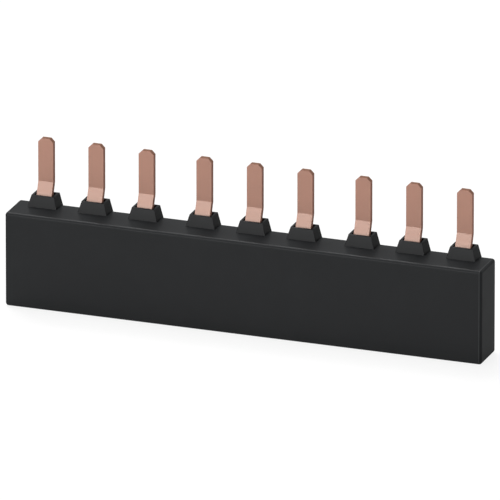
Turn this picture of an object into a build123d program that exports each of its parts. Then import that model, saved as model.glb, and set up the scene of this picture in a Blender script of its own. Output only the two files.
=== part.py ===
from build123d import *

import os
from math import cos, radians, tan

# Three-phase busbar for a row of circuit breakers.
# Three punched copper combs lie one behind the other in a moulded housing.
# Every tab ends in the rear layer, passes its collar and bends back to a blade.
# Millimetres. X runs along the housing, Y from front to back, Z up.
# The origin is the centre of the flat base.

# Poles: each breaker takes one blade of every phase, in the same order
breaker_count = 3
breaker_pitch = 45.0
pole_pitch = 14.3
end_margin = 8.2

# Copper combs, punched and bent from one sheet
copper = 1.5
strip_height = 8.0
strip_overhang = 2.5
tab_width = 4.3
root_radius = 1.0
bend_radius = 0.5
blade_reach = 15.55
blade_offset = 1.5
blade_slant = 21.0
slant_depth = 0.7
tip_chamfer = 1.0
crossover_rise = 2.0
crossover_slant = 45.0
key_depth = 1.0

# Insulating plates between the combs
barrier = 1.1
barrier_lap = 2.6
hood_lap = 2.3
layer_gap = 0.2
slot_gap = 0.1

# Moulded housing
wall = 1.75
roof = 1.5
housing_height = 26.5
edge_radius = 0.85
cavity_radius = 0.5
rib = 1.2

# Collars and the pockets that the tabs pass through
collar_height = 3.2
collar_rim = 0.65
collar_front_rim = 0.5
collar_side_draft = 16.0
collar_front_draft = 10.0
collar_edge_radius = 0.15
pocket_side_gap = 0.45
pocket_front_gap = 0.4
pocket_reach = 5.0

# Cover that closes the underside
cover = 1.5
ledge = 0.6
cover_gap = 0.1
cover_chamfer = 0.2
cradle = 0.9
bead_radius = 0.3
bead_length = 6.0

# Places along X
half_group = (breaker_count - 1) / 2
breaker_xs = [(i - half_group) * breaker_pitch for i in range(breaker_count)]
phase_shifts = [-pole_pitch, 0.0, pole_pitch]
pole_xs = sorted(b + s for b in breaker_xs for s in phase_shifts)
rib_xs = [(a + b) / 2 for a, b in zip(pole_xs, pole_xs[1:])]
key_x = max(x for x in rib_xs if x < 0)
housing_length = pole_xs[-1] - pole_xs[0] + 2 * end_margin

# Layers along Y
layer_pitch = copper + barrier + 2 * layer_gap
cavity_depth = 3 * copper + 2 * barrier + 6 * layer_gap
housing_depth = cavity_depth + 2 * wall
exit_y = cavity_depth / 2 - layer_gap - copper / 2
layer_ys = [exit_y - step * layer_pitch for step in (2, 1, 0)]
barrier_ys = [(front + back) / 2 for front, back in zip(layer_ys, layer_ys[1:])]
blade_y = exit_y + blade_offset

# Heights
strip_bottom = cover + cradle
strip_top = strip_bottom + strip_height
barrier_top = strip_top + barrier_lap
ceiling = housing_height - roof
rim_top = housing_height + collar_height
slant_start = rim_top - slant_depth
slant_end = slant_start + blade_offset / tan(radians(blade_slant))
blade_top = rim_top + blade_reach

# Pocket through each collar and the roof
pocket_width = tab_width + 2 * pocket_side_gap
pocket_front = exit_y - copper / 2 - pocket_front_gap
pocket_back = housing_depth / 2 - collar_rim

# How far from a height an edge may lie and still be picked there
pick_tolerance = 0.01


def block(x_span, y_span, z_span):
    """A rectangular block between the two limits given for each axis."""
    size = [high - low for low, high in (x_span, y_span, z_span)]
    middle = [(high + low) / 2 for low, high in (x_span, y_span, z_span)]
    return Pos(*middle) * Box(*size)


def bent_strip(width, thickness, points):
    """Flat strip of even thickness that follows points (y, z), bent at each corner."""
    path_points = [(0, y, z) for y, z in points]
    path = FilletPolyline(*path_points, radius=bend_radius + thickness / 2)
    start = Plane(origin=path_points[0], x_dir=(1, 0, 0), z_dir=(0, 0, 1))
    return sweep(start * Rectangle(width, thickness), path)


def crossover_end(start_y, start_z, run):
    """End of a run that slants back by the crossover angle from the vertical."""
    return start_y + run, start_z + run / tan(radians(crossover_slant))


def tab(layer_y):
    """One tab, from the root of its strip to the chamfered tip of the blade."""
    points = [(layer_y, strip_bottom)]
    if layer_y < exit_y:
        start_z = strip_top + crossover_rise
        points += [(layer_y, start_z), crossover_end(layer_y, start_z, exit_y - layer_y)]
    points += [(exit_y, slant_start), (blade_y, slant_end), (blade_y, blade_top)]
    strip = bent_strip(tab_width, copper, points)
    tip_edges = strip.edges().filter_by(Axis.Y).group_by(Axis.Z)[-1]
    return chamfer(tip_edges, tip_chamfer)


def phase_bar(layer_y, tab_xs):
    """Comb of one phase: a strip on edge with a tab for each breaker."""
    reach = tab_width / 2 + strip_overhang
    x_span = (tab_xs[0] - reach, tab_xs[-1] + reach)
    y_span = (layer_y - copper / 2, layer_y + copper / 2)
    bar = block(x_span, y_span, (strip_bottom, strip_top))
    bar += [Pos(x, 0, 0) * tab(layer_y) for x in tab_xs]
    root_heights = (strip_top - pick_tolerance, strip_top + pick_tolerance)
    root_edges = bar.edges().filter_by(Axis.Y).filter_by_position(Axis.Z, *root_heights)
    bar = fillet(root_edges, root_radius)
    key_half = rib / 2 + slot_gap
    key_top = strip_bottom + key_depth
    return bar - block((key_x - key_half, key_x + key_half), y_span, (strip_bottom, key_top))


def phase_barrier(barrier_y, tab_xs):
    """Plate between two combs, with a hood under each tab that crosses over it.

    A hood stays half a layer behind its tab, and ends level with the exit layer's back.
    """
    half = housing_length / 2 - wall - cover_gap
    y_span = (barrier_y - barrier / 2, barrier_y + barrier / 2)
    plate = block((-half, half), y_span, (cover, barrier_top))
    bend_z = strip_top + crossover_rise - layer_pitch / 2 * tan(radians(crossover_slant) / 2)
    end_y = exit_y + copper / 2 - barrier / 2 * cos(radians(crossover_slant))
    points = [(barrier_y, cover), (barrier_y, bend_z), crossover_end(barrier_y, bend_z, end_y - barrier_y)]
    hood_width = tab_width + 2 * hood_lap
    hood = bent_strip(hood_width, barrier, points)
    opening = block((-hood_width / 2, hood_width / 2), y_span, (strip_top, barrier_top))
    for x in tab_xs:
        plate = plate - Pos(x, 0, 0) * opening + Pos(x, 0, 0) * hood
    return plate


def collar():
    """Four-sided collar with a flush back, carried down into the roof by its own draft."""
    def outline(z):
        drop = rim_top - z
        half_width = pocket_width / 2 + collar_rim + drop * tan(radians(collar_side_draft))
        front = pocket_front - collar_front_rim - drop * tan(radians(collar_front_draft))
        back = housing_depth / 2
        return Pos(0, (front + back) / 2, z) * Rectangle(2 * half_width, back - front)

    body = loft([outline(ceiling), outline(rim_top)])
    back_edges = body.edges().group_by(Axis.Y)[-1]
    return fillet(body.faces().sort_by(Axis.Y)[0].edges() - back_edges, collar_edge_radius)


def pocket():
    """Opening from the collar's rim down past the roof, where it also relieves the rear wall."""
    half = pocket_width / 2
    return block((-half, half), (pocket_front, pocket_back), (ceiling - pocket_reach, rim_top))


def barrier_slots(x, z_span):
    """The two slots that a cross rib leaves for the barriers."""
    half = barrier / 2 + slot_gap
    return [block((x - rib, x + rib), (y - half, y + half), z_span) for y in barrier_ys]


def snap_beads(radius, length, half_depth):
    """Round beads along both long edges of the cover, or with more radius their grooves."""
    bead = Rot(0, 90, 0) * Cylinder(radius, length)
    return [Pos(x, y, cover / 2) * bead for x in pole_xs for y in (-half_depth, half_depth)]


def rounded_block(half_length, half_depth, z_span, radius):
    """Block centred on the origin with rounded upright corners."""
    body = block((-half_length, half_length), (-half_depth, half_depth), z_span)
    return fillet(body.edges().filter_by(Axis.Z), radius)


def cross_rib(x):
    """Rib from the roof down to the strips, which holds them on the cover."""
    y_span = (-cavity_depth / 2, cavity_depth / 2)
    body = block((x - rib / 2, x + rib / 2), y_span, (strip_top, ceiling))
    return body - barrier_slots(x, (strip_top, barrier_top + slot_gap))


def housing():
    """Moulded shell with collars on the roof, open underneath."""
    half_length = housing_length / 2
    half_depth = housing_depth / 2
    outer = block((-half_length, half_length), (-half_depth, half_depth), (0, housing_height))
    shell = fillet(outer.edges(), edge_radius)
    shell += [Pos(x, 0, 0) * collar() for x in pole_xs]
    shell -= rounded_block(half_length - wall, cavity_depth / 2, (0, ceiling), cavity_radius)
    seat_length = half_length - wall + ledge
    seat_depth = cavity_depth / 2 + ledge
    shell -= rounded_block(seat_length, seat_depth, (0, cover), cavity_radius)
    shell -= snap_beads(bead_radius + cover_gap, bead_length + 2 * cover_gap, seat_depth - cover_gap)
    shell -= [Pos(x, 0, 0) * pocket() for x in pole_xs]
    shell += [cross_rib(x) for x in rib_xs]
    return shell


def base_cover():
    """Cover flush in the underside, with cradles that carry the strips and barriers."""
    half_length = housing_length / 2 - wall + ledge - cover_gap
    half_depth = cavity_depth / 2 + ledge - cover_gap
    plate = rounded_block(half_length, half_depth, (0, cover), cavity_radius)
    plate = chamfer(plate.edges().group_by(Axis.Z)[0], cover_chamfer)
    plate += snap_beads(bead_radius, bead_length, half_depth)
    cradle_half = cavity_depth / 2 - slot_gap
    for x in rib_xs:
        top = strip_bottom + (key_depth - slot_gap if x == key_x else 0)
        cradle_block = block((x - rib / 2, x + rib / 2), (-cradle_half, cradle_half), (cover, top))
        plate += cradle_block - barrier_slots(x, (cover, top))
    return plate


parts = {
    "housing": housing(),
    "base_cover": base_cover(),
}
for number, (y, shift) in enumerate(zip(layer_ys, phase_shifts), start=1):
    tab_xs = [x + shift for x in breaker_xs]
    parts[f"phase_bar_l{number}"] = phase_bar(y, tab_xs)
for name, y, shift in zip(("front", "rear"), barrier_ys, phase_shifts):
    tab_xs = [x + shift for x in breaker_xs]
    parts[f"phase_barrier_{name}"] = phase_barrier(y, tab_xs)

os.makedirs("parts", exist_ok=True)
for name, solid in parts.items():
    export_step(solid, f"parts/{name}.step")
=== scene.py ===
import math

import bmesh
import bpy
import numpy as np
from bpy.props import FloatProperty, FloatVectorProperty, PointerProperty
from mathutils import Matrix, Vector


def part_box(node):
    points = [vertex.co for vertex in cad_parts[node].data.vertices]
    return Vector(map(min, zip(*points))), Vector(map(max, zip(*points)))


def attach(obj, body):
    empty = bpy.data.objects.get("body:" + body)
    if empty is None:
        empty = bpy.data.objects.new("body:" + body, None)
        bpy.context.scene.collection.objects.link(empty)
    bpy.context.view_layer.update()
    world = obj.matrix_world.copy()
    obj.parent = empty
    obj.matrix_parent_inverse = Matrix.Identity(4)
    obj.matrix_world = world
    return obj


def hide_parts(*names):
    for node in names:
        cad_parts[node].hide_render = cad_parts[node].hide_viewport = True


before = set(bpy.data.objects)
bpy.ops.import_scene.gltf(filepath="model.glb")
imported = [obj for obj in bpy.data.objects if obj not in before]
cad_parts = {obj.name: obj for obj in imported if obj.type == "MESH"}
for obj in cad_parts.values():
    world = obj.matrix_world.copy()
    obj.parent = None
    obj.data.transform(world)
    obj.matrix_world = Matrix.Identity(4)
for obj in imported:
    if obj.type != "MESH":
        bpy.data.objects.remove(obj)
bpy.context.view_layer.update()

bl_info = {
    "name": "Three-Phase Busbar Finish",
    "version": (1, 0, 0),
    "blender": (4, 5, 0),
    "location": "3D View > Sidebar > Busbar",
    "description": "Finishes a comb busbar in moulded plastic and punched copper",
    "category": "Object",
}

# Lengths are metres in the frame of the CAD model: X along the row, Y to the back, Z up.
MM = 0.001

# The tabs' sheet, where it leaves the collars and leans back to the blades
SHEET = 1.5 * MM
BLADE_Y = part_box("phase_bar_l3")[1][1] - SHEET / 2
BLADE_OFFSET = 1.5 * MM
SLANT_BOTTOM = 29.0 * MM
SLANT_ANGLE = math.radians(21.0)

# The collars' pockets: X folded to the nearest pole, Y and Z as they are
BREAKER_PITCH = 45.0 * MM
POLE_PITCH = 14.3 * MM
POCKET_HALF = 2.6 * MM
POCKET_Y = (1.85 * MM, 5.05 * MM)
POCKET_Z = (20.0 * MM, 29.7 * MM)
WALL_SLACK = 0.02 * MM

# In a CAD node's copy, points closer than MERGE_DISTANCE become one, edges flatter than
# FLAT_ANGLE go, and edges sharper than SHARP_ANGLE are rounded.
MERGE_DISTANCE = 0.002 * MM
FLAT_ANGLE = math.radians(0.5)
SHARP_ANGLE = math.radians(30.0)

# Where the painted edge shade and the painted highlight line show on the housing, by the sideways
# part of the unit normal: the span over which each comes in, and the span over which it goes
EDGE_SHADE_SPANS = ((0.2, 0.35), (0.93, 0.995))
EDGE_HIGHLIGHT_SPANS = ((0.02, 0.08), (0.25, 0.35))

# By the upward part of the unit normal, a face takes the full painted edge shade up to the
# first value, and none from the second.
STILL_STEEP = (0.3, 0.75)

# On the copper, a cut edge turns into a rolled face over the first span, by the part of
# the unit normal along Y, and a side into a tip over the second, by its upward part. The cut
# edges' colours carry painted shade, and the tip's colour is painted shade.
CUT_TO_FACE = (0.6, 0.9)
SIDE_TO_TIP = (0.3, 0.6)

# Depth in the sheet, from its centre, where the burnished band turns into the broken one
BREAK_DEPTH = (-0.2 * SHEET, -0.1 * SHEET)

# Length of a rolling streak over its width, and the span of the noise that shows
STREAK_STRETCH = 50.0
STREAK_NOISE = (0.3, 0.7)

# The floor lies this far below the base, so that the two share no plane.
FLOOR_DROP = 0.01 * MM

# The photograph's view is almost parallel, from the right front and a little above. Angles
# are degrees, the distance is metres, and the lens and sensor are millimetres.
VIEW_AZIMUTH = 20.0
VIEW_ELEVATION = 20.0
VIEW_TARGET = Vector((0.138, 0.0, 22.314)) * MM
VIEW_DISTANCE = 5.5467
LENS = 1500.0
SENSOR = 36.0

# The point that every softbox faces
LIT_POINT = Vector((0.0, 0.0, 20.0)) * MM

# Softboxes, by the setting that holds each one's level: azimuth and elevation in degrees,
# then distance, width and height in metres
SOFTBOXES = {
    "front_strip": (-20, 3, 1.5, 0.7, 0.12),
    "slant_strip": (-20, 20, 1.5, 0.7, 0.14),
    "high_left": (-60, 68, 1.6, 0.7, 0.6),
    "top": (0, 90, 1.6, 0.6, 0.5),
    "high_back": (-140, 60, 1.6, 0.9, 0.8),
    "right_end": (90, 4, 1.5, 0.5, 0.15),
}


def linear(hex_colour):
    """An sRGB hex colour such as #2c2d2e as linear RGBA, by the standard curve."""
    levels = [int(hex_colour[i:i + 2], 16) / 255 for i in (1, 3, 5)]
    return [v / 12.92 if v <= 0.04045 else ((v + 0.055) / 1.055) ** 2.4 for v in levels] + [1.0]


def heading(azimuth, elevation):
    """Unit vector towards a place round the object: azimuth 0 is the front, 90 the right."""
    turn, rise = math.radians(azimuth), math.radians(elevation)
    level = math.cos(rise)
    return Vector((math.sin(turn) * level, -math.cos(turn) * level, math.sin(rise)))


def add_node(tree, kind, inputs=(), **settings):
    """Adds one node, sets its properties, then sets or links each input that is given."""
    node = tree.nodes.new(kind)
    for name, value in settings.items():
        setattr(node, name, value)
    for key, value in dict(inputs).items():
        if isinstance(value, bpy.types.NodeSocket):
            tree.links.new(value, node.inputs[key])
        else:
            node.inputs[key].default_value = value
    return node


def new_material(name):
    """A material whose node tree is still empty."""
    material = bpy.data.materials.new(name)
    material.use_nodes = True
    material.node_tree.nodes.clear()
    return material, material.node_tree


def place_object(name, data):
    """Puts data into the scene as an object that sits at the origin."""
    thing = bpy.data.objects.new(name, data)
    bpy.context.scene.collection.objects.link(thing)
    return thing


def dress(node, name, radius, material):
    """A copy of a CAD node with its sharp edges rounded, in its finish, that stands for it.

    The copy's triangles are merged to one skin and its flat faces rejoined, so that the
    bevel finds the real edges. Weighted normals keep flat faces flat beside round ones,
    in place of the stored normals, which belong to the loose triangles.
    """
    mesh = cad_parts[node].data.copy()
    mesh.name = name
    skin = bmesh.new()
    skin.from_mesh(mesh)
    bmesh.ops.remove_doubles(skin, verts=skin.verts, dist=MERGE_DISTANCE)
    bmesh.ops.dissolve_limit(skin, angle_limit=FLAT_ANGLE, verts=skin.verts, edges=skin.edges)
    for face in skin.faces:
        face.smooth = True
    skin.to_mesh(mesh)
    skin.free()
    if "custom_normal" in mesh.attributes:
        mesh.attributes.remove(mesh.attributes["custom_normal"])
    mesh.materials.clear()
    mesh.materials.append(material)
    piece = place_object(name, mesh)
    bevel = piece.modifiers.new("edge_radius", "BEVEL")
    bevel.width = radius
    bevel.segments = 2
    bevel.limit_method = "ANGLE"
    bevel.angle_limit = SHARP_ANGLE
    piece.modifiers.new("flat_faces", "WEIGHTED_NORMAL")
    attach(piece, "root")
    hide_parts(node)


class HousingSettings(bpy.types.PropertyGroup):
    """Finish of the moulded housing and its cover."""
    colour: FloatVectorProperty(
        name="Colour", description="Colour of the plastic",
        size=4, subtype="COLOR", min=0.0, max=1.0, default=linear("#252627"))
    cloud_colour: FloatVectorProperty(
        name="Cloud colour", description="Colour of the plastic where more filler shows",
        size=4, subtype="COLOR", min=0.0, max=1.0, default=linear("#28292a"))
    # Painted shade: the walls inside the collars' pockets are painted near black.
    pocket_shade: FloatVectorProperty(
        name="Pocket colour", description="Colour of the smooth walls inside the collars",
        size=4, subtype="COLOR", min=0.0, max=1.0, default=linear("#08080a"))
    # Painted shade: the steep end roundings and the collars' sides are painted darker.
    edge_shade: FloatVectorProperty(
        name="Rubbed colour", description="Colour where the plastic rubbed along the tool",
        size=4, subtype="COLOR", min=0.0, max=1.0, default=linear("#1c1d1e"))
    # Painted highlight: a fine pale line where a face begins to turn towards the right end.
    edge_highlight: FloatVectorProperty(
        name="Witness colour", description="Colour of the fine line that the end slide leaves",
        size=4, subtype="COLOR", min=0.0, max=1.0, default=linear("#3a3b3c"))
    cloud: FloatProperty(
        name="Cloud", description="Width of the faint clouds in the plastic",
        default=9.0 * MM, unit="LENGTH")
    grain: FloatProperty(
        name="Grain", description="Width of one pit of the moulded texture",
        default=0.25 * MM, unit="LENGTH")
    grain_depth: FloatProperty(
        name="Grain depth", description="Depth of the moulded texture",
        default=0.012 * MM, unit="LENGTH")
    sheen: FloatProperty(
        name="Sheen", description="Strength of the resin-rich skin's sheen",
        default=0.12, min=0.0, max=1.0, subtype="FACTOR")
    sheen_roughness: FloatProperty(
        name="Sheen roughness", description="Roughness of the resin-rich skin",
        default=0.3, min=0.0, max=1.0, subtype="FACTOR")
    edge: FloatProperty(
        name="Edge radius", description="Radius of the sharp moulded edges",
        default=0.1 * MM, unit="LENGTH")


class CopperSettings(bpy.types.PropertyGroup):
    """Finish of the punched copper combs."""
    colour: FloatVectorProperty(
        name="Colour", description="Colour of the rolled faces",
        size=4, subtype="COLOR", min=0.0, max=1.0, default=linear("#9d6954"))
    tarnish: FloatVectorProperty(
        name="Tarnish", description="Colour of the faint tarnish on the rolled faces",
        size=4, subtype="COLOR", min=0.0, max=1.0, default=linear("#976450"))
    # The two cut-edge colours hold the punch's real bands, darkened as painted shade.
    burnish_and_shade: FloatVectorProperty(
        name="Burnish", description="Colour of the cut edges where the punch rubbed them",
        size=4, subtype="COLOR", min=0.0, max=1.0, default=linear("#825341"))
    fracture_and_shade: FloatVectorProperty(
        name="Fracture", description="Colour of the cut edges where the sheet broke",
        size=4, subtype="COLOR", min=0.0, max=1.0, default=linear("#764a3a"))
    # Painted shade: the blades' upward-facing ends are painted darkest.
    tip_shade: FloatVectorProperty(
        name="Cropped tip", description="Colour of the blades' ends, cropped in a rougher cut",
        size=4, subtype="COLOR", min=0.0, max=1.0, default=linear("#5e3218"))
    glint: FloatVectorProperty(
        name="Glint", description="Tint of the light that the copper mirrors",
        size=4, subtype="COLOR", min=0.0, max=1.0, default=linear("#fffff8"))
    streak: FloatProperty(
        name="Streak", description="Width of one rolling streak",
        default=0.15 * MM, unit="LENGTH")
    streak_depth: FloatProperty(
        name="Streak depth", description="Depth of the rolling streaks",
        default=0.01 * MM, unit="LENGTH")
    cloud: FloatProperty(
        name="Cloud", description="Width of the clouds of tarnish",
        default=5.0 * MM, unit="LENGTH")
    metallic: FloatProperty(
        name="Metallic", description="How far the faces mirror light in the metal's colour",
        default=0.08, min=0.0, max=1.0, subtype="FACTOR")
    roughness: FloatProperty(
        name="Roughness", description="Roughness of the rolled faces",
        default=0.35, min=0.0, max=1.0, subtype="FACTOR")
    roughness_spread: FloatProperty(
        name="Roughness spread", description="How far the streaks change that roughness",
        default=0.04, min=0.0, max=0.3, subtype="FACTOR")
    cut_roughness: FloatProperty(
        name="Cut roughness", description="Roughness of the cut edges",
        default=0.95, min=0.0, max=1.0, subtype="FACTOR")
    edge: FloatProperty(
        name="Edge radius", description="Radius that the punch leaves on each edge",
        default=0.04 * MM, unit="LENGTH")


class BarrierSettings(bpy.types.PropertyGroup):
    """Finish of the barriers between the combs."""
    colour: FloatVectorProperty(
        name="Colour", description="Colour of the uncoloured plastic",
        size=4, subtype="COLOR", min=0.0, max=1.0, default=linear("#b3b1a9"))
    cloud_colour: FloatVectorProperty(
        name="Cloud colour", description="Colour of its darker clouds",
        size=4, subtype="COLOR", min=0.0, max=1.0, default=linear("#a5a39a"))
    cloud: FloatProperty(
        name="Cloud", description="Width of its clouds",
        default=6.0 * MM, unit="LENGTH")


class StageSettings(bpy.types.PropertyGroup):
    """Floor, lights and camera."""
    floor: FloatProperty(
        name="Floor", description="Radius of the round floor",
        default=3.0, unit="LENGTH")
    paper: FloatVectorProperty(
        name="Paper", description="Colour of the floor",
        size=4, subtype="COLOR", min=0.0, max=1.0, default=linear("#fafafa"))
    lift: FloatProperty(
        name="Lift", description="How far the floor that is seen is lifted to plain white",
        default=0.85, min=0.0, max=1.0, subtype="FACTOR")
    surround: FloatProperty(
        name="Surround", description="Level of the even light from all round",
        default=0.08, min=0.0)
    front_strip: FloatProperty(
        name="Front strip", description="Level of the low strip light at the front left",
        default=0.3, min=0.0)
    slant_strip: FloatProperty(
        name="Slant strip", description="Level of the strip light that the leaning tabs mirror",
        default=0.17, min=0.0)
    high_left: FloatProperty(
        name="High left light", description="Level of the softbox high at the front left",
        default=0.1, min=0.0)
    top: FloatProperty(
        name="Top light", description="Level of the softbox straight above",
        default=0.31, min=0.0)
    high_back: FloatProperty(
        name="High back light", description="Level of the softbox high at the back left",
        default=1.15, min=0.0)
    right_end: FloatProperty(
        name="Right end light", description="Level of the low softbox at the right end",
        default=0.16, min=0.0)


def pocket_walls(tree, place):
    """Socket that is 1 on the walls of the collars' pockets, else 0.

    X is folded to the nearest pole, by wrapping it over the breakers and then over their
    poles. Each axis is then compared with the pocket's span.
    """
    axes = add_node(tree, "ShaderNodeSeparateXYZ", {"Vector": place})
    pole = axes.outputs["X"]
    for pitch in (BREAKER_PITCH, POLE_PITCH):
        pole = add_node(tree, "ShaderNodeMath", {
            0: pole, 1: pitch / 2, 2: -pitch / 2}, operation="WRAP").outputs[0]
    inside = 1.0
    spans = (
        (pole, (-POCKET_HALF, POCKET_HALF)),
        (axes.outputs["Y"], POCKET_Y),
        (axes.outputs["Z"], POCKET_Z),
    )
    for value, (low, high) in spans:
        within = add_node(tree, "ShaderNodeMath", {
            0: value, 1: (low + high) / 2, 2: (high - low) / 2 + WALL_SLACK}, operation="COMPARE")
        inside = add_node(tree, "ShaderNodeMath", {
            0: within.outputs[0], 1: inside}, operation="MULTIPLY").outputs[0]
    return inside


def band(tree, value, rise, fall):
    """Socket that goes from 0 to 1 over the span rise, and back to 0 over the span fall."""
    up = add_node(tree, "ShaderNodeMapRange", {
        "Value": value, "From Min": rise[0], "From Max": rise[1]})
    down = add_node(tree, "ShaderNodeMapRange", {
        "Value": value, "From Min": fall[0], "From Max": fall[1], "To Min": 1.0, "To Max": 0.0})
    both = add_node(tree, "ShaderNodeMath", {
        0: up.outputs["Result"], 1: down.outputs["Result"]}, operation="MULTIPLY")
    return both.outputs[0]


def moulded_polyamide(settings):
    """Glass-filled polyamide, coloured black and moulded in a spark-eroded tool.

    The tool's pits scatter the light, so the faces look dull. Real pits are about 0.08 mm
    wide, which is too fine to show, so they are drawn coarser. The clouds of filler under
    the surface hardly show, and the resin-rich skin gives a soft, dark sheen. The walls
    inside the collars' pockets are painted near black, as painted shade. The steep
    roundings at both ends and the collars' sides are painted darker, as painted shade.
    A fine pale line is painted as a highlight where a face begins to turn towards the
    right end.
    """
    material, tree = new_material("moulded_black_polyamide")
    coordinates = add_node(tree, "ShaderNodeTexCoord")
    place = coordinates.outputs["Object"]
    normal = add_node(tree, "ShaderNodeSeparateXYZ", {"Vector": coordinates.outputs["Normal"]})
    sideways = normal.outputs["X"]
    tilt = add_node(tree, "ShaderNodeMath", {0: sideways}, operation="ABSOLUTE")
    steep = add_node(tree, "ShaderNodeMapRange", {
        "Value": normal.outputs["Z"], "From Min": STILL_STEEP[0], "From Max": STILL_STEEP[1],
        "To Min": 1.0, "To Max": 0.0})
    # Painted shade on the steep end roundings and the collars' sides
    edge_shade_mask = add_node(tree, "ShaderNodeMath", {
        0: band(tree, tilt.outputs[0], *EDGE_SHADE_SPANS),
        1: steep.outputs["Result"]}, operation="MULTIPLY")
    pits = add_node(tree, "ShaderNodeTexNoise", {
        "Vector": place, "Scale": 1 / settings.grain, "Detail": 2.0, "Roughness": 0.6})
    clouds = add_node(tree, "ShaderNodeTexNoise", {
        "Vector": place, "Scale": 1 / settings.cloud, "Detail": 4.0, "Roughness": 0.55})
    tone = add_node(tree, "ShaderNodeMix", {
        "Factor": clouds.outputs["Fac"],
        "A": settings.colour, "B": settings.cloud_colour}, data_type="RGBA")
    edge_shade = add_node(tree, "ShaderNodeMix", {
        "Factor": edge_shade_mask.outputs[0],
        "A": tone.outputs["Result"], "B": settings.edge_shade}, data_type="RGBA")
    # Painted highlight: a pale line where a face begins to turn to the right.
    highlighted = add_node(tree, "ShaderNodeMix", {
        "Factor": band(tree, sideways, *EDGE_HIGHLIGHT_SPANS),
        "A": edge_shade.outputs["Result"], "B": settings.edge_highlight}, data_type="RGBA")
    # Painted shade: the walls inside the pockets take a near-black colour.
    colour = add_node(tree, "ShaderNodeMix", {
        "Factor": pocket_walls(tree, place),
        "A": highlighted.outputs["Result"], "B": settings.pocket_shade}, data_type="RGBA")
    bump = add_node(tree, "ShaderNodeBump", {
        "Height": pits.outputs["Fac"], "Strength": 0.6, "Distance": settings.grain_depth})
    shader = add_node(tree, "ShaderNodeBsdfPrincipled", {
        "Base Color": colour.outputs["Result"], "Roughness": 0.8, "Specular IOR Level": 0.0,
        "Coat Weight": settings.sheen, "Coat Roughness": settings.sheen_roughness,
        "Coat Normal": bump.outputs["Normal"], "Normal": bump.outputs["Normal"]})
    add_node(tree, "ShaderNodeOutputMaterial", {"Surface": shader.outputs["BSDF"]})
    return material


def sheet_depth(tree, place):
    """Place in front of or behind the tab's centre plane, as a socket in metres.

    The plane stays at the exit layer up to the slant, leans back at the slant's angle,
    and stays at the blade layer above it.
    """
    axes = add_node(tree, "ShaderNodeSeparateXYZ", {"Vector": place})
    centre = add_node(tree, "ShaderNodeMapRange", {
        "Value": axes.outputs["Z"], "From Min": SLANT_BOTTOM,
        "From Max": SLANT_BOTTOM + BLADE_OFFSET / math.tan(SLANT_ANGLE),
        "To Min": BLADE_Y - BLADE_OFFSET, "To Max": BLADE_Y})
    depth = add_node(tree, "ShaderNodeMath", {
        0: axes.outputs["Y"], 1: centre.outputs["Result"]}, operation="SUBTRACT")
    return depth.outputs[0]


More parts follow.
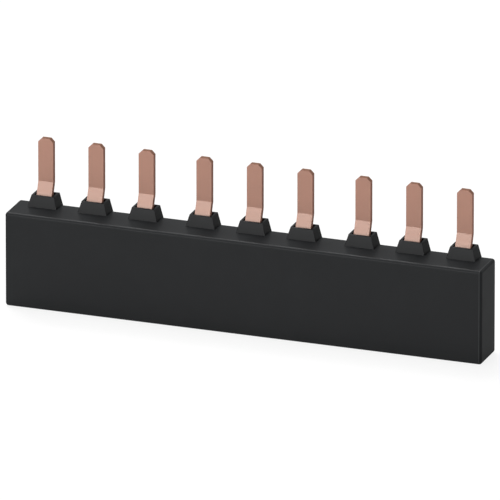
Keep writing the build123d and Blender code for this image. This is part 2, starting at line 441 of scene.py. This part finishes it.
def punched_copper(settings):
    """Electrolytic copper strip, cold rolled, then punched and bent.

    Rolling leaves fine streaks along the comb and a satin, faintly tarnished face. Real
    streaks are about 0.03 mm wide, which is too fine to show, so they are drawn coarser.
    The punch leaves a smooth band at the front of each cut edge, where it slid along it,
    and a rough one behind, where the sheet broke; both are also painted darker, as painted
    shade. The blades' upward-facing ends are painted darkest, as painted shade, and are
    dull. Polished copper would mirror far more: this one is dull, as in the photograph,
    so its metallic value is low.
    """
    material, tree = new_material("rolled_punched_copper")
    coordinates = add_node(tree, "ShaderNodeTexCoord")
    place = coordinates.outputs["Object"]
    along = add_node(tree, "ShaderNodeMapping", {
        "Vector": place, "Scale": (1 / STREAK_STRETCH, 1.0, 1.0)})
    streaks = add_node(tree, "ShaderNodeTexNoise", {
        "Vector": along.outputs["Vector"], "Scale": 1 / settings.streak, "Detail": 3.0})
    clouds = add_node(tree, "ShaderNodeTexNoise", {
        "Vector": place, "Scale": 1 / settings.cloud, "Detail": 4.0})
    normal = add_node(tree, "ShaderNodeSeparateXYZ", {"Vector": coordinates.outputs["Normal"]})
    facing = add_node(tree, "ShaderNodeMath", {0: normal.outputs["Y"]}, operation="ABSOLUTE")
    cut = add_node(tree, "ShaderNodeMapRange", {
        "Value": facing.outputs[0], "From Min": CUT_TO_FACE[0], "From Max": CUT_TO_FACE[1],
        "To Min": 1.0, "To Max": 0.0})
    broken = add_node(tree, "ShaderNodeMapRange", {
        "Value": sheet_depth(tree, place),
        "From Min": BREAK_DEPTH[0], "From Max": BREAK_DEPTH[1]})
    face = add_node(tree, "ShaderNodeMix", {
        "Factor": clouds.outputs["Fac"],
        "A": settings.colour, "B": settings.tarnish}, data_type="RGBA")
    # Cut edges: real smooth and broken bands, in colours darkened as painted shade
    side = add_node(tree, "ShaderNodeMix", {
        "Factor": broken.outputs["Result"],
        "A": settings.burnish_and_shade, "B": settings.fracture_and_shade}, data_type="RGBA")
    # Painted shade: upward-facing cut ends take the darkest colour.
    upward = add_node(tree, "ShaderNodeMapRange", {
        "Value": normal.outputs["Z"], "From Min": SIDE_TO_TIP[0], "From Max": SIDE_TO_TIP[1]})
    edge = add_node(tree, "ShaderNodeMix", {
        "Factor": upward.outputs["Result"],
        "A": side.outputs["Result"], "B": settings.tip_shade}, data_type="RGBA")
    tone = add_node(tree, "ShaderNodeMix", {
        "Factor": cut.outputs["Result"],
        "A": face.outputs["Result"], "B": edge.outputs["Result"]}, data_type="RGBA")
    satin = add_node(tree, "ShaderNodeMapRange", {
        "Value": streaks.outputs["Fac"],
        "From Min": STREAK_NOISE[0], "From Max": STREAK_NOISE[1],
        "To Min": settings.roughness - settings.roughness_spread,
        "To Max": settings.roughness + settings.roughness_spread})
    rough = add_node(tree, "ShaderNodeMix", {
        "Factor": cut.outputs["Result"],
        "A": satin.outputs["Result"], "B": settings.cut_roughness})
    bump = add_node(tree, "ShaderNodeBump", {
        "Height": streaks.outputs["Fac"], "Strength": 0.15, "Distance": settings.streak_depth})
    shader = add_node(tree, "ShaderNodeBsdfPrincipled", {
        "Base Color": tone.outputs["Result"], "Metallic": settings.metallic,
        "Specular IOR Level": 1.0, "Specular Tint": settings.glint,
        "Roughness": rough.outputs["Result"], "Normal": bump.outputs["Normal"]})
    add_node(tree, "ShaderNodeOutputMaterial", {"Surface": shader.outputs["BSDF"]})
    return material


def natural_polyamide(settings):
    """Flame-retardant polyamide left uncoloured and moulded: pale grey, dull and cloudy."""
    material, tree = new_material("moulded_natural_polyamide")
    place = add_node(tree, "ShaderNodeTexCoord").outputs["Object"]
    clouds = add_node(tree, "ShaderNodeTexNoise", {
        "Vector": place, "Scale": 1 / settings.cloud, "Detail": 4.0})
    tone = add_node(tree, "ShaderNodeMix", {
        "Factor": clouds.outputs["Fac"],
        "A": settings.colour, "B": settings.cloud_colour}, data_type="RGBA")
    shader = add_node(tree, "ShaderNodeBsdfPrincipled", {
        "Base Color": tone.outputs["Result"], "Roughness": 0.6})
    add_node(tree, "ShaderNodeOutputMaterial", {"Surface": shader.outputs["BSDF"]})
    return material


def seen_ray(tree):
    """Socket that is 1 for rays from the camera and for mirrored or passed ones, else 0."""
    rays = add_node(tree, "ShaderNodeLightPath")
    mirrored = add_node(tree, "ShaderNodeMath", {
        0: rays.outputs["Is Glossy Ray"],
        1: rays.outputs["Is Transmission Ray"]}, operation="MAXIMUM")
    seen = add_node(tree, "ShaderNodeMath", {
        0: rays.outputs["Is Camera Ray"], 1: mirrored.outputs[0]}, operation="MAXIMUM")
    return seen.outputs[0]


def paper_floor(settings):
    """Matte white paper. Camera and mirrored rays see it nearly white, with the shadow left."""
    material, tree = new_material("matte_white_paper")
    lift = add_node(tree, "ShaderNodeMath", {
        0: seen_ray(tree), 1: settings.lift}, operation="MULTIPLY")
    paper = add_node(tree, "ShaderNodeBsdfDiffuse", {"Color": settings.paper})
    white = add_node(tree, "ShaderNodeEmission", {"Strength": 1.0})
    mixed = add_node(tree, "ShaderNodeMixShader", {
        "Fac": lift.outputs[0], 1: paper.outputs["BSDF"], 2: white.outputs["Emission"]})
    add_node(tree, "ShaderNodeOutputMaterial", {"Surface": mixed.outputs["Shader"]})
    return material


def round_floor(radius):
    """Flat disc on a polar grid. Ring n of N lies at the radius times the square of n / N."""
    turns, rings = 96, 12
    angle = np.arange(turns) * 2 * math.pi / turns
    reach = radius * (np.arange(1, rings + 1) / rings) ** 2
    points = np.zeros((1 + rings * turns, 3))
    points[:, 2] = -FLOOR_DROP
    points[1:, 0] = np.outer(reach, np.cos(angle)).ravel()
    points[1:, 1] = np.outer(reach, np.sin(angle)).ravel()
    near = np.arange((rings - 1) * turns)
    ahead = near - near % turns + (near + 1) % turns
    quads = 1 + np.stack([near, near + turns, ahead + turns, ahead], axis=1)
    first = np.arange(turns)
    middle = np.stack([np.zeros(turns, int), 1 + first, 1 + (first + 1) % turns], axis=1)
    mesh = bpy.data.meshes.new("floor")
    mesh.from_pydata(points.tolist(), [], middle.tolist() + quads.tolist())
    return place_object("floor", mesh)


def softbox(name, azimuth, elevation, distance, width, height, level):
    """Soft lamp round the object. Level 1 lights a white face turned to it to full white.

    The light that a white face sends back is the lamp's power over the square of pi times
    its distance, so the power is that square times the level.
    """
    lamp = bpy.data.lights.new(name, "AREA")
    lamp.shape = "RECTANGLE"
    lamp.size = width
    lamp.size_y = height
    lamp.energy = level * (math.pi * distance) ** 2
    holder = place_object(name, lamp)
    towards = heading(azimuth, elevation)
    holder.location = LIT_POINT + towards * distance
    holder.rotation_euler = towards.to_track_quat("Z", "Y").to_euler()


def photograph_camera():
    """Long lens at the photograph's azimuth and elevation."""
    optics = bpy.data.cameras.new("camera")
    optics.lens = LENS
    optics.sensor_width = SENSOR
    optics.clip_end = 2 * VIEW_DISTANCE
    camera = place_object("camera", optics)
    back = heading(VIEW_AZIMUTH, VIEW_ELEVATION)
    camera.location = VIEW_TARGET + back * VIEW_DISTANCE
    camera.rotation_euler = back.to_track_quat("Z", "Y").to_euler()
    bpy.context.scene.camera = camera


def studio_world(level):
    """Even white light from all round, seen as a white backdrop."""
    world = bpy.data.worlds.new("studio")
    world.use_nodes = True
    tree = world.node_tree
    tree.nodes.clear()
    strength = add_node(tree, "ShaderNodeMapRange", {
        "Value": seen_ray(tree), "To Min": level, "To Max": 1.0})
    light = add_node(tree, "ShaderNodeBackground", {
        "Color": linear("#ffffff"), "Strength": strength.outputs["Result"]})
    add_node(tree, "ShaderNodeOutputWorld", {"Surface": light.outputs["Background"]})
    bpy.context.scene.world = world


class BUSBAR_OT_housing(bpy.types.Operator):
    """Moulds the housing and its cover"""
    bl_idname = "busbar.housing"
    bl_label = "Housing and cover"

    def execute(self, context):
        settings = context.scene.busbar_housing
        material = moulded_polyamide(settings)
        dress("housing", "moulded_housing", settings.edge, material)
        dress("base_cover", "moulded_cover", settings.edge, material)
        return {"FINISHED"}


class BUSBAR_OT_combs(bpy.types.Operator):
    """Finishes the three copper combs in rolled, punched copper"""
    bl_idname = "busbar.combs"
    bl_label = "Copper combs"

    def execute(self, context):
        settings = context.scene.busbar_copper
        material = punched_copper(settings)
        for phase in ("l1", "l2", "l3"):
            dress(f"phase_bar_{phase}", f"copper_comb_{phase}", settings.edge, material)
        return {"FINISHED"}


class BUSBAR_OT_barriers(bpy.types.Operator):
    """Moulds the two barriers between the combs"""
    bl_idname = "busbar.barriers"
    bl_label = "Barriers"

    def execute(self, context):
        material = natural_polyamide(context.scene.busbar_barriers)
        for side in ("front", "rear"):
            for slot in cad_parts[f"phase_barrier_{side}"].material_slots:
                slot.material = material
        return {"FINISHED"}


class BUSBAR_OT_stage(bpy.types.Operator):
    """Sets the floor, lights and camera"""
    bl_idname = "busbar.stage"
    bl_label = "Stage"

    def execute(self, context):
        settings = context.scene.busbar_stage
        floor = round_floor(settings.floor)
        floor.data.materials.append(paper_floor(settings))
        studio_world(settings.surround)
        for name, place in SOFTBOXES.items():
            softbox(name, *place, getattr(settings, name))
        photograph_camera()
        context.scene.view_settings.view_transform = "Standard"
        return {"FINISHED"}


# What each operator reads, in the order of making
STEPS = [
    ("busbar.housing", "busbar_housing", HousingSettings),
    ("busbar.combs", "busbar_copper", CopperSettings),
    ("busbar.barriers", "busbar_barriers", BarrierSettings),
    ("busbar.stage", "busbar_stage", StageSettings),
]


class BUSBAR_PT_pieces(bpy.types.Panel):
    """Lists the busbar's pieces with their sizes and colours"""
    bl_idname = "BUSBAR_PT_pieces"
    bl_label = "Busbar"
    bl_space_type = "VIEW_3D"
    bl_region_type = "UI"
    bl_category = "Busbar"

    def draw(self, context):
        for operator, holder, group in STEPS:
            box = self.layout.box()
            box.operator(operator)
            for name in group.__annotations__:
                box.prop(getattr(context.scene, holder), name)


OPERATORS = [BUSBAR_OT_housing, BUSBAR_OT_combs, BUSBAR_OT_barriers, BUSBAR_OT_stage]
CLASSES = [group for operator, holder, group in STEPS] + OPERATORS + [BUSBAR_PT_pieces]


def register():
    for item in CLASSES:
        bpy.utils.register_class(item)
    for operator, holder, group in STEPS:
        setattr(bpy.types.Scene, holder, PointerProperty(type=group))


def unregister():
    for operator, holder, group in STEPS:
        delattr(bpy.types.Scene, holder)
    for item in reversed(CLASSES):
        bpy.utils.unregister_class(item)


def main():
    register()
    bpy.ops.busbar.housing()
    bpy.ops.busbar.combs()
    bpy.ops.busbar.barriers()
    bpy.ops.busbar.stage()


if __name__ == "__main__":
    main()
